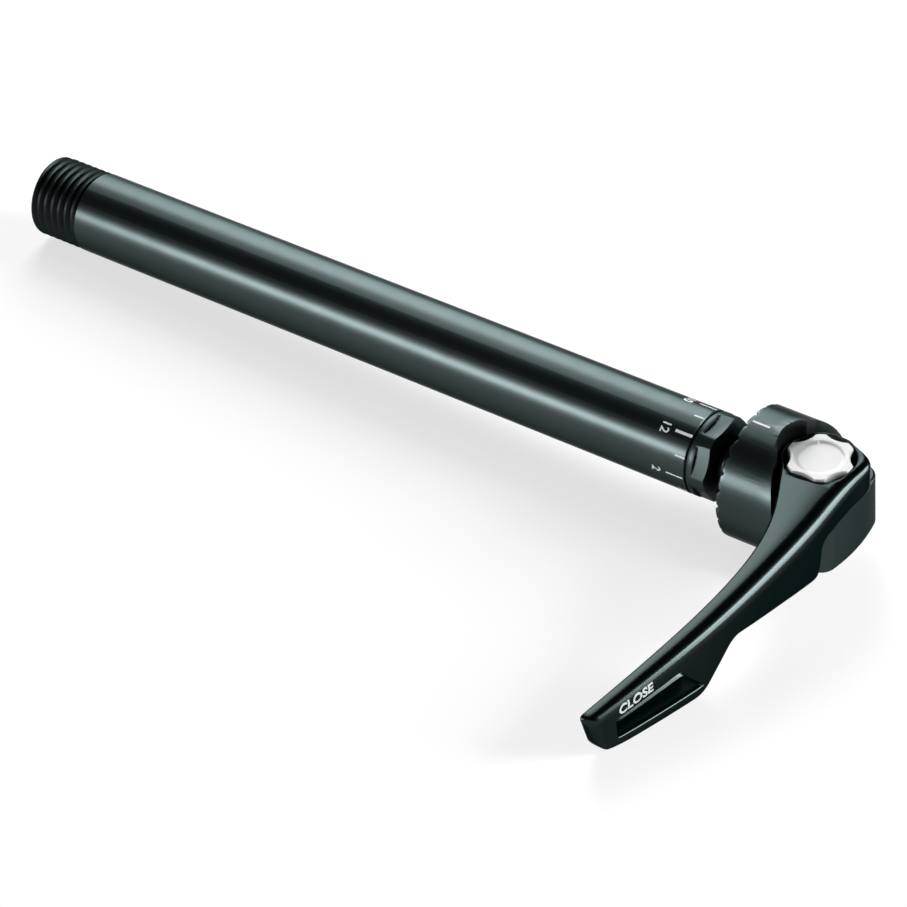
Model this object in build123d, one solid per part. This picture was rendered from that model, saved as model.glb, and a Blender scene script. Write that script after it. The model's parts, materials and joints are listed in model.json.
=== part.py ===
"""A 15 mm bicycle thru axle with an indexed clamp head and a cam lever, in millimetres."""
from build123d import *
from math import asin, atan2, cos, degrees, hypot, radians, sin
import os

# The frame: +X runs along the axle to the lever, the origin is the middle of the tube.
# Every piece is drawn with the lever pivot upright, then rolled to the way the axle lies on a table.

# Axle tube
tube_length = 143.3
tube_diameter = 15.0
tube_bore = 11.0
thread_end_chamfer = 1.0
bore_chamfer = 0.5

# Index plug, pressed into the lever end of the tube
plug_spigot = 18.0
plug_wall = 3.0
plug_groove_width = 0.6
plug_groove_depth = 0.4
plug_ring_end = 1.6
hex_across_flats = 14.0
hex_end = 3.9
nose_end = 4.8
nose_diameter = 11.8
clock_step = 30.0
eleven_angle = 3.0

# Retention bolt and its washer
bolt_diameter = 5.0
bolt_length = 20.0
bolt_head_diameter = 8.5
bolt_head_height = 5.0
bolt_key_size = 4.0
bolt_key_depth = 2.5
washer_diameter = 10.0
washer_thickness = 1.0

# Draw rod
guide_diameter = 9.0
guide_inner_end = 6.2
tapped_depth = 16.4
tongue_thickness = 2.8
tongue_neck_width = 8.4
tongue_neck_length = 0.6
eye_width = 10.0
eye_wall = 1.4

# Cam housing, drawn as it stands when the head is pulled out for indexing
collar_diameter = 23.5
collar_front = 8.9
front_to_pivot = 13.3
collar_back_to_pivot = 1.5
collar_back_round = 1.2
collar_front_chamfer = 0.4
socket_depth = 3.5
tooth_count = 24
tooth_notch_width = 0.95
tooth_notch_depth = 0.85
tooth_ring_width = 2.2
saddle_radius = 20.0
saddle_to_pivot = 6.0
saddle_round = 1.2
ledge_height = 2.25
barrel_diameter = 19.6
barrel_bottom = -8.65
barrel_face = 7.15
barrel_face_radius = 32.0
barrel_corner_round = 3.0
barrel_bottom_round = 1.0
barrel_top_round = 0.45
spigot_height = 3.15
spigot_wall = 1.0

# Cam shaft, bushes and clip
cam_offset = 0.9
cam_closed_angle = 20.0
lever_swing = 90.0
journal_diameter = 7.4
lower_journal_diameter = 3.4
cam_diameter = 5.4
bush_wall = 0.5
drive_across_flats = 5.2
stud_diameter = 5.0
stud_length = 0.9
clip_width = 0.45
clip_radial = 1.3
clip_gap_angle = 80.0
shim_thickness = 0.4
clip_recess_depth = 1.15
thrust_washer_thickness = 0.25
clip_groove_depth = 0.4

# Lever
boss_radius = 6.7
lever_top = 8.4
drive_web = 1.4
lever_reach = 71.0
tip_slope = 2.4
tip_inner = -0.1
tip_outer = 2.6
tip_round = 0.55
tip_round_share = 0.85
arm_proud = 1.25
arm_step_gap = 2.5
arm_step_bottom = -3.75
arm_waist_reach = 37.9
arm_waist_bottom = 2.1
paddle_reach = 45.9
paddle_outer = 6.45
paddle_bottom = -4.2
paddle_tip_bottom = -0.1
step_round = 1.2
paddle_round = 3.0
ridge_round = 2.0
grip_tip_margin = 4.2
grip_high_reach = 51.0
grip_low_reach = 45.8
grip_high = 4.6
grip_low = -2.1
grip_end_low = 0.8
grip_round = 1.0
grip_depth = 0.5

# Star nut
star_diameter = 11.64
star_lobes = 6
star_waist_diameter = 9.8
star_scallop_radius = 4.5
star_proud = 0.3
dish_top_diameter = 8.9
dish_floor_diameter = 6.8
dish_depth = 0.4

# Clearances
running_clearance = 0.05
thread_clearance = 0.03
press_clearance = 0.01
hex_clearance = 0.15
eye_clearance = 0.12
boss_clearance = 0.35
tongue_clearance = 0.2
face_gap = 0.05
shoulder_gap = 0.3
spigot_gap = 0.2
bolt_hole_clearance = 0.1
clip_recess_clearance = 1.3

tube_radius = tube_diameter / 2
bore_radius = tube_bore / 2
tube_end = tube_length / 2
thread_end = -tube_length / 2
plug_inner_end = tube_end - plug_spigot
bolt_radius = bolt_diameter / 2
bolt_face = plug_inner_end - face_gap - washer_thickness
guide_radius = guide_diameter / 2
collar_radius = collar_diameter / 2
collar_face = tube_end + collar_front
pivot_x = collar_face + front_to_pivot
socket_floor = collar_face + socket_depth
guide_end = socket_floor - shoulder_gap
journal_radius = journal_diameter / 2
lower_radius = lower_journal_diameter / 2
cam_radius = cam_diameter / 2
cam_x = cam_offset * cos(radians(cam_closed_angle))
cam_y = cam_offset * sin(radians(cam_closed_angle))
open_x = cam_offset * cos(radians(cam_closed_angle + lever_swing))
open_y = cam_offset * sin(radians(cam_closed_angle + lever_swing))
eye_x = cam_x + eye_clearance / 2
eye_end = eye_x + cam_radius + eye_clearance + eye_wall
slot_half_height = tongue_thickness / 2 + tongue_clearance
upper_bore = journal_radius + running_clearance + bush_wall + press_clearance
lower_bore = lower_radius + running_clearance + bush_wall + press_clearance
spigot_radius = upper_bore + spigot_wall
spigot_top = ledge_height + spigot_height
thrust_washer_low = ledge_height + face_gap
lever_bottom = thrust_washer_low + thrust_washer_thickness
web_low = spigot_top + spigot_gap
web_high = web_low + drive_web
arm_outer = boss_radius + arm_proud
arm_step_reach = barrel_diameter / 2 + arm_step_gap
grip_end = lever_reach - grip_tip_margin
star_radius = star_diameter / 2
star_top = lever_top + star_proud
clip_recess_top = barrel_bottom + clip_recess_depth
shim_top = clip_recess_top - face_gap
shim_low = shim_top - shim_thickness
tall = 4 * collar_diameter

# Lying on a table, the axle rests on the collar and rolls until the paddle touches
paddle_distance = hypot(paddle_reach, paddle_bottom)
lie_roll = degrees(asin(collar_radius / paddle_distance) - atan2(-paddle_bottom, paddle_reach))


def about_axle(radius, x_start, x_end):
    """A solid cylinder about the axle between two stations."""
    return extrude(Plane.YZ.offset(x_start) * Circle(radius), x_end - x_start)


def about_pivot(radius, z_start, z_end, x=0.0, y=0.0):
    """A solid upright cylinder, on the pivot axis or beside it."""
    return Pos(pivot_x + x, y, z_start) * extrude(Circle(radius), z_end - z_start)


def ring(inner, outer, z_start, z_end):
    """A flat ring or sleeve about the pivot axis."""
    return about_pivot(outer, z_start, z_end) - about_pivot(inner, z_start, z_end)


def block(x_start, x_end, y_half, z_start, z_end):
    """A box across the axle, with X measured from the pivot."""
    size = (x_end - x_start, 2 * y_half, z_end - z_start)
    return Pos(pivot_x + (x_start + x_end) / 2, 0, (z_start + z_end) / 2) * Box(*size)


def turned(points):
    """A turned piece: its half section, as stations and radii, revolved about the axle."""
    return revolve(make_face(Polyline(*points, close=True)), Axis.X)


def hexagon(across_flats, angle):
    """A hexagon with one flat turned by an angle."""
    return RegularPolygon(across_flats / 2, 6, major_radius=False, rotation=angle)


def axle_tube():
    """The hollow axle: chamfered for its thread at one end and bored right through."""
    return turned([
        (thread_end, bore_radius + bore_chamfer),
        (thread_end, tube_radius - thread_end_chamfer),
        (thread_end + thread_end_chamfer, tube_radius),
        (tube_end, tube_radius),
        (tube_end, bore_radius),
        (thread_end + bore_chamfer, bore_radius),
    ])


def index_plug():
    """The hexagonal drive end, with the guide bore and the wall that holds the bolt head."""
    guide_bore = guide_radius + running_clearance
    bolt_hole = bolt_radius + bolt_hole_clearance
    spigot = bore_radius - press_clearance
    neck = tube_radius - plug_groove_depth
    body = turned([
        (plug_inner_end, bolt_hole),
        (plug_inner_end, spigot),
        (tube_end, spigot),
        (tube_end, neck),
        (tube_end + plug_groove_width, neck),
        (tube_end + plug_groove_width, tube_radius),
        (tube_end + hex_end, tube_radius),
        (tube_end + nose_end, nose_diameter / 2),
        (tube_end + nose_end, guide_bore),
        (plug_inner_end + plug_wall, guide_bore),
        (plug_inner_end + plug_wall, bolt_hole),
    ])
    hex_start = tube_end + plug_ring_end
    flats = extrude(Plane.YZ.offset(hex_start) * hexagon(hex_across_flats, eleven_angle), nose_end)
    return body - (about_axle(tube_diameter, hex_start, tube_end + nose_end) - flats)


def retention_bolt():
    """The socket screw inside the tube that holds the head on, reached through the bore."""
    head_end = bolt_face - bolt_head_height
    bolt = about_axle(bolt_head_diameter / 2, head_end, bolt_face)
    bolt += about_axle(bolt_radius, bolt_face, bolt_face + bolt_length)
    return bolt - extrude(Plane.YZ.offset(head_end) * hexagon(bolt_key_size, 0), bolt_key_depth)


def bolt_washer():
    """The washer between the bolt head and the plug."""
    end = bolt_face + washer_thickness
    hole = bolt_radius + bolt_hole_clearance
    return about_axle(washer_diameter / 2, bolt_face, end) - about_axle(hole, bolt_face, end)


def draw_rod():
    """The rod that the cam pulls: a tapped guide in the plug, and a flat eye round the cam."""
    start = tube_end - guide_inner_end
    half = tongue_thickness / 2
    neck = guide_end - pivot_x
    shoulder = neck + tongue_neck_length
    rod = about_axle(guide_radius, start, guide_end)
    rod += block(neck, shoulder, tongue_neck_width / 2, -half, half)
    plate = block(shoulder, eye_end, eye_width / 2, -half, half)
    corners = plate.edges().filter_by(Axis.Z).group_by(Axis.X)[-1]
    rod += fillet(corners, eye_width / 4)
    rod -= about_axle(bolt_radius + thread_clearance, start, start + tapped_depth)
    slot = cam_radius + eye_clearance
    middle = (cam_y + open_y) / 2
    window = SlotOverall(2 * slot + open_y - cam_y, 2 * slot, rotation=90)
    return rod - Pos(pivot_x + eye_x, middle, -half) * extrude(window, tongue_thickness)


def clamp_teeth(body):
    """Cuts the radial notches that part the teeth of the clamping face."""
    inner = collar_radius - tooth_ring_width
    wedge = make_face(Polyline(
        (collar_face, -tooth_notch_width),
        (collar_face + tooth_notch_depth, 0),
        (collar_face, tooth_notch_width),
        close=True,
    ))
    notch = extrude(Pos(0, 0, inner) * wedge, 2 * tooth_ring_width)
    step = 360 / tooth_count
    for n in range(tooth_count):
        body -= Rot(X=eleven_angle + step * (n + 0.5)) * notch
    return body


def cam_housing():
    """The clamp head: toothed collar with a twelve-point socket, saddle for the lever, cam barrel."""
    body = about_axle(collar_radius, collar_face, pivot_x - collar_back_to_pivot)
    body = fillet(body.edges().sort_by(Axis.X)[-1], collar_back_round)
    body = chamfer(body.edges().sort_by(Axis.X)[0], collar_front_chamfer)
    saddle = about_pivot(saddle_radius, ledge_height, tall, saddle_radius - saddle_to_pivot)
    body -= fillet(saddle.edges().group_by(Axis.Z)[0], saddle_round)
    body -= about_pivot(boss_radius + boss_clearance, ledge_height, tall)
    barrel = about_pivot(barrel_diameter / 2, barrel_bottom, ledge_height)
    barrel &= about_pivot(barrel_face_radius, barrel_bottom, ledge_height, barrel_face - barrel_face_radius)
    corners = barrel.edges().filter_by(Axis.Z).sort_by(lambda edge: abs(edge.center().Y))[-2:]
    barrel = fillet(corners, barrel_corner_round)
    barrel = fillet(barrel.edges().group_by(Axis.Z)[0], barrel_bottom_round)
    barrel = fillet(barrel.edges().group_by(Axis.Z)[-1], barrel_top_round)
    body += barrel
    body += about_pivot(spigot_radius, ledge_height, spigot_top)
    for turn in (0, clock_step):
        points = hexagon(hex_across_flats + 2 * hex_clearance, eleven_angle + turn)
        body -= extrude(Plane.YZ.offset(collar_face) * points, socket_depth)
    slot_end = eye_end + tongue_clearance
    slot_half_width = eye_width / 2 + tongue_clearance
    body -= block(socket_floor - pivot_x, slot_end, slot_half_width, -slot_half_height, slot_half_height)
    body -= about_pivot(upper_bore, 0, spigot_top)
    body -= about_pivot(lower_bore, barrel_bottom, 0)
    body -= about_pivot(lower_radius + clip_radial + clip_recess_clearance, barrel_bottom, clip_recess_top)
    return clamp_teeth(body)


def cam_shaft():
    """The lever's shaft: two journals, the offset cam between them, a hex drive and a stud."""
    groove_floor = lower_radius - clip_groove_depth
    shaft = about_pivot(journal_radius, slot_half_height, spigot_top)
    shaft += about_pivot(cam_radius, face_gap - slot_half_height, slot_half_height, cam_x, cam_y)
    shaft += about_pivot(lower_radius, barrel_bottom + face_gap, 0)
    drive = extrude(hexagon(drive_across_flats, 0), web_high - spigot_top)
    shaft += Pos(pivot_x, 0, spigot_top) * drive
    shaft += about_pivot(stud_diameter / 2, web_high, web_high + stud_length)
    return shaft - ring(groove_floor, tall, shim_low - clip_width - face_gap, shim_low)


def cam_clip():
    """The open spring clip that keeps the cam shaft in the housing."""
    inner = lower_radius - clip_groove_depth + press_clearance
    low = shim_low - clip_width
    clip = ring(inner, inner + clip_radial, low, shim_low)
    reach = 2 * lower_journal_diameter
    half = radians(clip_gap_angle / 2)
    side = (reach * cos(half), reach * sin(half))
    gap = make_face(Polyline((0, 0), (side[0], -side[1]), side, close=True))
    return clip - Pos(pivot_x, 0, low) * extrude(gap, clip_width)


def arm_plan():
    """The arm seen along the pivot: it leaves the boss and bows towards the wheel at its tip."""
    outer = Spline(
        (0.48 * boss_radius, 0.87 * boss_radius),
        (0.836 * boss_radius, 0.731 * boss_radius),
        (1.082 * boss_radius, 0.582 * boss_radius),
        (arm_outer - 0.2, 0),
        (arm_outer, -arm_step_reach),
        (arm_outer, -24.0),
        (paddle_outer, -paddle_reach),
        (tip_outer, -lever_reach),
    )
    inner = Spline(
        (tip_inner, -lever_reach),
        (2.1, -51.2),
        (3.05, -33.0),
        (0.94, -17.0),
        (-0.448 * boss_radius, -1.179 * boss_radius),
        (-0.84 * boss_radius, -0.42 * boss_radius),
    )
    end = Line(outer @ 1, inner @ 0)
    root = Polyline(inner @ 1, (0, 0), outer @ 0)
    return Pos(pivot_x, 0, 0) * make_face([outer, end, inner, root])


def arm_side():
    """The arm seen along the axle: straight top, step past the barrel, waist and finger paddle."""
    past_boss = 2 * boss_radius
    mid_reach = (arm_step_reach + arm_waist_reach) / 2
    mid_bottom = (arm_step_bottom + arm_waist_bottom) / 2
    step = FilletPolyline(
        (past_boss, lever_bottom),
        (-arm_step_reach, lever_bottom),
        (-arm_step_reach - step_round, arm_step_bottom),
        (-mid_reach, mid_bottom),
        radius=step_round,
    )
    paddle = FilletPolyline(
        (-mid_reach, mid_bottom),
        (-arm_waist_reach, arm_waist_bottom),
        (-paddle_reach, paddle_bottom),
        (-lever_reach + tip_slope, paddle_tip_bottom),
        (-lever_reach, lever_top),
        radius=paddle_round,
    )
    top = Polyline(paddle @ 1, (past_boss, lever_top), step @ 0)
    return Plane.YZ * make_face([step, paddle, top])


def lever_arm():
    """The forged arm: plan and side view crossed, a soft outer ridge, a finger recess."""
    plan = extrude(arm_plan(), tall, both=True)
    arm = plan & extrude(Pos(pivot_x, 0, 0) * arm_side(), tall, both=True)
    top_edges = arm.edges().group_by(Axis.Z)[-1]
    ridge = top_edges.filter_by(GeomType.BSPLINE).sort_by(Axis.X)[-1]
    arm = fillet(ridge, ridge_round)
    tip = arm.faces().sort_by(Axis.Y)[0].edges()
    arm = fillet(tip, min(tip_round, tip_round_share * min(edge.length for edge in tip)))
    outline = make_face(Polyline(
        (-grip_end, grip_high),
        (-grip_high_reach, grip_high),
        (-grip_low_reach, grip_low),
        (-grip_end, grip_end_low),
        close=True,
    ))
    outline = fillet(outline.vertices(), grip_round)
    grip = Pos(pivot_x, 0, 0) * extrude(Plane.YZ * outline, tall)
    return arm - (grip - Pos(-grip_depth, 0, 0) * plan)


def lever():
    """The lever: arm and round boss, hollowed over the housing's spigot and seated for the nut."""
    body = lever_arm() + about_pivot(boss_radius, lever_bottom, lever_top)
    body -= about_pivot(spigot_radius + boss_clearance, lever_bottom, web_low)
    drive = extrude(hexagon(drive_across_flats + 2 * press_clearance, 0), drive_web)
    body -= Pos(pivot_x, 0, web_low) * drive
    return body - about_pivot(star_radius + tongue_clearance, web_high, lever_top)


def star_nut():
    """The star nut that clamps the lever to the cam shaft: six lobes and a dished top."""
    outline = Circle(star_radius)
    centre = star_waist_diameter / 2 + star_scallop_radius
    for n in range(star_lobes):
        outline -= Rot(Z=360 / star_lobes * (n + 0.5)) * Pos(centre, 0) * Circle(star_scallop_radius)
    nut = Pos(pivot_x, 0, web_high) * extrude(outline, star_top - web_high)
    dish = Cone(dish_floor_diameter / 2, dish_top_diameter / 2, dish_depth)
    nut -= Pos(pivot_x, 0, star_top - dish_depth / 2) * dish
    return nut - about_pivot(stud_diameter / 2 + thread_clearance, web_high, web_high + stud_length)


bush_low = slot_half_height + face_gap
journal_hole = journal_radius + running_clearance
lower_hole = lower_radius + running_clearance
thrust_hole = spigot_radius + running_clearance
pieces = {
    "axle_tube": axle_tube(),
    "index_plug": index_plug(),
    "retention_bolt": retention_bolt(),
    "bolt_washer": bolt_washer(),
    "draw_rod": draw_rod(),
    "cam_housing": cam_housing(),
    "upper_cam_bush": ring(journal_hole, journal_hole + bush_wall, bush_low, spigot_top),
    "lower_cam_bush": ring(lower_hole, lower_hole + bush_wall, clip_recess_top, -bush_low),
    "cam_shaft": cam_shaft(),
    "cam_shim": ring(lower_hole, lower_radius + clip_radial, shim_low, shim_top),
    "cam_clip": cam_clip(),
    "thrust_washer": ring(thrust_hole, boss_radius - face_gap, thrust_washer_low, lever_bottom),
    "lever": lever(),
    "star_nut": star_nut(),
}
os.makedirs("parts", exist_ok=True)
for name, piece in pieces.items():
    export_step(Rot(X=lie_roll) * piece, f"parts/{name}.step")
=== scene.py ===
"""Bicycle thru axle: finishes, fine pieces, studio and camera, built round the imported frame."""

import json
import logging
import math
from collections.abc import Sequence
from dataclasses import dataclass
from enum import Enum

import bmesh
import bpy
import numpy as np
from mathutils import Matrix, Vector


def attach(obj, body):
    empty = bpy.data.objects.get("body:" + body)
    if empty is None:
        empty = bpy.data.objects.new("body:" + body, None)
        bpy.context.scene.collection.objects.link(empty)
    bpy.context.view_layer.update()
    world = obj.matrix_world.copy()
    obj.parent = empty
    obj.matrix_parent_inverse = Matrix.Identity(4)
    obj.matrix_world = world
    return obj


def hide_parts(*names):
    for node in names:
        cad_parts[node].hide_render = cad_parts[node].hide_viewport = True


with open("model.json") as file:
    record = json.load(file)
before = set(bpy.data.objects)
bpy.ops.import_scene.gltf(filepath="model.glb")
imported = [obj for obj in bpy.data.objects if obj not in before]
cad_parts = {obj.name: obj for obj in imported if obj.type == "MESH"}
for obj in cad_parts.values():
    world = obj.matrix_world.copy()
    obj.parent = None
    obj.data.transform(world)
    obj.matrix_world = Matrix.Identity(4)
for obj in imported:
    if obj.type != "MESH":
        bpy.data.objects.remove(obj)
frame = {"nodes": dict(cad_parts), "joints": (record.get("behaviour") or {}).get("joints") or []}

logging.basicConfig(level=logging.INFO, format="%(message)s")
log = logging.getLogger("thru_axle")

Point = tuple[float, float]
Triple = tuple[float, float, float]

MM = 0.001
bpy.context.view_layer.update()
JOINTS = {joint["name"]: joint for joint in frame["joints"]}
PIVOT_AXIS = Vector(JOINTS["lever_cam"]["axis"])
PIVOT_X = JOINTS["lever_cam"]["pos_m"][0] / MM
LIE_ROLL = math.atan2(-PIVOT_AXIS.y, PIVOT_AXIS.z)
BREAK_ANGLE = 25.0
CRISP_ANGLE = 40.0
FLAT_ANGLE = 0.4
MERGE = 0.002 * MM
# Millimetres within which two points count as one, from coarse to fine.
NEAR, HAIR, FINE = 1e-3, 1e-4, 1e-5
# Sockets of the colour Mix node, which have no names of their own.
MIX_SHARE, MIX_FIRST, MIX_SECOND, MIX_RESULT = 0, 6, 7, 2
PLACE = Matrix.Rotation(LIE_ROLL, 4, "X") @ Matrix.Scale(MM, 4)
PIVOT_PLACE = PLACE @ Matrix.Translation((PIVOT_X, 0, 0))


class Body(Enum):
    """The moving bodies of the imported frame."""

    AXLE = "axle"
    BOLT = "bolt"
    ROD = "rod"
    HOUSING = "housing"
    LEVER = "lever"


class Slot(Enum):
    """The record's material slots, which are named for the new pieces but not applied to them."""

    BLACK = "black_anodised"
    BRIGHT = "bright_aluminium"
    STEEL = "steel"
    POLYMER = "slide_polymer"


class NodeKit:
    """Short ways to add and join shader nodes in one node tree."""

    def __init__(self, tree: bpy.types.NodeTree) -> None:
        """Keeps the tree that the nodes go into."""
        self.tree = tree

    def add(self, kind: str, **values: object) -> bpy.types.Node:
        """Adds a node and sets its attributes and inputs.

        Args:
            kind: The node's type name.
            values: Attributes of the node, or values or sources of its inputs by name.

        Returns:
            The new node.
        """
        node = self.tree.nodes.new(kind)
        for key, value in values.items():
            if hasattr(node, key):
                setattr(node, key, value)
            else:
                self.join(value, node.inputs[key])
        return node

    def join(self, source: object, target: bpy.types.NodeSocket) -> None:
        """Links a socket to an input, or sets the input to a plain value.

        Args:
            source: A socket or a value.
            target: The input.
        """
        if isinstance(source, bpy.types.NodeSocket):
            self.tree.links.new(source, target)
        else:
            target.default_value = source

    def math(self, operation: str, first: object, second: object) -> bpy.types.NodeSocket:
        """Adds a Math node.

        Args:
            operation: What the node does.
            first: A socket or a number.
            second: A socket or a number.

        Returns:
            The node's output.
        """
        node = self.add("ShaderNodeMath", operation=operation)
        for value, socket in zip((first, second), node.inputs):
            self.join(value, socket)
        return node.outputs[0]


def new_group(
    name: str, inputs: dict[str, float], outputs: tuple[str, ...]
) -> tuple[bpy.types.NodeTree, NodeKit, bpy.types.NodeOutputs, bpy.types.NodeInputs]:
    """Starts a shader node group with number sockets.

    Args:
        name: The group's name.
        inputs: The names and default values of its inputs.
        outputs: The names of its outputs.

    Returns:
        The group, its kit, the sockets that come in and the sockets that go out.
    """
    tree = bpy.data.node_groups.new(name, "ShaderNodeTree")
    for label, value in inputs.items():
        socket = tree.interface.new_socket(label, in_out="INPUT", socket_type="NodeSocketFloat")
        socket.default_value = value
    for label in outputs:
        tree.interface.new_socket(label, in_out="OUTPUT", socket_type="NodeSocketFloat")
    kit = NodeKit(tree)
    return tree, kit, kit.add("NodeGroupInput").outputs, kit.add("NodeGroupOutput").inputs


def surface_grain_group() -> bpy.types.NodeTree:
    """Builds the fine grain of a blasted and anodised surface.

    Returns:
        A group that gives roughness, a bump height and a tone, all varied over the surface.
    """
    defaults = {"Scale": 4000.0, "Stretch": 1.0, "Roughness": 0.3, "Spread": 0.06}
    tree, kit, given, out = new_group("surface_grain", defaults, ("Roughness", "Height", "Tone"))
    place = kit.add("ShaderNodeTexCoord").outputs["Object"]
    parts = kit.add("ShaderNodeSeparateXYZ", Vector=place).outputs
    along = kit.math("MULTIPLY", parts["X"], given["Stretch"])
    drawn = kit.add("ShaderNodeCombineXYZ", X=along, Y=parts["Y"], Z=parts["Z"]).outputs[0]
    noise = "ShaderNodeTexNoise"
    fine = kit.add(noise, Vector=drawn, Scale=given["Scale"], Detail=3.0, Roughness=0.6).outputs["Fac"]
    broad = kit.add(noise, Vector=place, Scale=90.0, Detail=4.0, Roughness=0.55).outputs["Fac"]
    swing = kit.math("SUBTRACT", kit.math("ADD", fine, broad), 1.0)
    swing = kit.math("MULTIPLY", swing, given["Spread"])
    kit.join(kit.math("ADD", given["Roughness"], swing), out["Roughness"])
    kit.join(fine, out["Height"])
    kit.join(broad, out["Tone"])
    return tree


def edge_wear_group() -> bpy.types.NodeTree:
    """Builds the mask of proud edges, which handling has polished and which also carry a painted highlight.

    Returns:
        A group that gives a mask, one on the proud edges and zero elsewhere.
    """
    defaults = {"Start": 0.53, "Width": 0.06, "Patch Scale": 260.0}
    tree, kit, given, out = new_group("edge_wear_and_highlight", defaults, ("Mask",))
    place = kit.add("ShaderNodeTexCoord").outputs["Object"]
    patch = kit.add("ShaderNodeTexNoise", Vector=place, Scale=given["Patch Scale"], Detail=3.0)
    bend = kit.add("ShaderNodeNewGeometry").outputs["Pointiness"]
    rise = kit.math("DIVIDE", kit.math("SUBTRACT", bend, given["Start"]), given["Width"])
    rise = kit.math("MULTIPLY", rise, patch.outputs["Fac"])
    kit.join(kit.add("ShaderNodeClamp", Value=rise).outputs[0], out["Mask"])
    return tree


class Shared:
    """The shader groups that several finishes use, each built once."""

    grain: bpy.types.NodeTree = surface_grain_group()
    wear: bpy.types.NodeTree = edge_wear_group()


@dataclass(frozen=True)
class Finish:
    """A metal or moulded finish with grain, a slow change of tone and recoloured proud edges, which are wear
    and, where the colour is lighter, a painted highlight.
    """

    name: str
    colour: Triple
    tone_colour: Triple
    worn_colour: Triple
    roughness: float = 0.3
    spread: float = 0.06
    metallic: float = 1.0
    grain_scale: float = 4000.0
    grain_stretch: float = 1.0
    grain_depth: float = 0.02
    wear_start: float = 0.53
    edge_tint: float = 1.0
    bump_distance: float = 0.0001

    def material(self) -> bpy.types.Material:
        """Builds the material.

        Returns:
            The finished material.
        """
        material = bpy.data.materials.new(self.name)
        material.use_nodes = True
        kit = NodeKit(material.node_tree)
        shader = material.node_tree.nodes["Principled BSDF"].inputs
        shader["Metallic"].default_value = self.metallic
        shader["Specular Tint"].default_value = (self.edge_tint, self.edge_tint, self.edge_tint, 1.0)
        grain = kit.add(
            "ShaderNodeGroup", node_tree=Shared.grain, Scale=self.grain_scale, Stretch=self.grain_stretch,
            Roughness=self.roughness, Spread=self.spread,
        ).outputs
        wear = kit.add("ShaderNodeGroup", node_tree=Shared.wear, Start=self.wear_start).outputs
        tone = self._blend(kit, grain["Tone"], (*self.colour, 1.0), self.tone_colour)
        # Proud edges take the worn colour: wear, and where it is lighter than the base, a painted edge
        # highlight.
        kit.join(self._blend(kit, wear["Mask"], tone, self.worn_colour), shader["Base Color"])
        kit.join(grain["Roughness"], shader["Roughness"])
        height = self._height(kit, grain["Height"])
        bump = kit.add(
            "ShaderNodeBump", Strength=self.grain_depth, Distance=self.bump_distance, Height=height
        )
        kit.join(bump.outputs["Normal"], shader["Normal"])
        return material

    def _blend(
        self, kit: NodeKit, mask: bpy.types.NodeSocket, first: object, second: Triple
    ) -> bpy.types.NodeSocket:
        """Mixes two colours by a mask.

        Args:
            kit: The material's node kit.
            mask: The share of the second colour.
            first: A colour with its alpha, or a socket that gives one.
            second: The other colour.

        Returns:
            The mixed colour.
        """
        mix = kit.add("ShaderNodeMix", data_type="RGBA")
        kit.join(mask, mix.inputs[MIX_SHARE])
        kit.join(first, mix.inputs[MIX_FIRST])
        kit.join((*second, 1.0), mix.inputs[MIX_SECOND])
        return mix.outputs[MIX_RESULT]

    def _height(self, kit: NodeKit, grain: bpy.types.NodeSocket) -> bpy.types.NodeSocket:
        """Gives the bump height, which is the grain alone."""
        return grain


@dataclass(frozen=True)
class TurnedFinish(Finish):
    """A bright finish with the fine rings that a lathe leaves about the lever pivot."""

    ring_scale: float = 900.0
    ring_share: float = 0.6

    def _height(self, kit: NodeKit, grain: bpy.types.NodeSocket) -> bpy.types.NodeSocket:
        """Adds turned rings to the grain.

        Args:
            kit: The material's node kit.
            grain: The height of the grain.

        Returns:
            The height of grain and rings together.
        """
        place = kit.add("ShaderNodeTexCoord").outputs["Object"]
        centre = kit.add(
            "ShaderNodeMapping", vector_type="TEXTURE", Vector=place, Location=(PIVOT_X * MM, 0, 0),
            Rotation=(LIE_ROLL, 0, 0),
        ).outputs[0]
        rings = kit.add(
            "ShaderNodeTexWave", wave_type="RINGS", rings_direction="Z", Scale=self.ring_scale, Vector=centre
        )
        return kit.math("ADD", kit.math("MULTIPLY", rings.outputs["Fac"], self.ring_share), grain)


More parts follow.
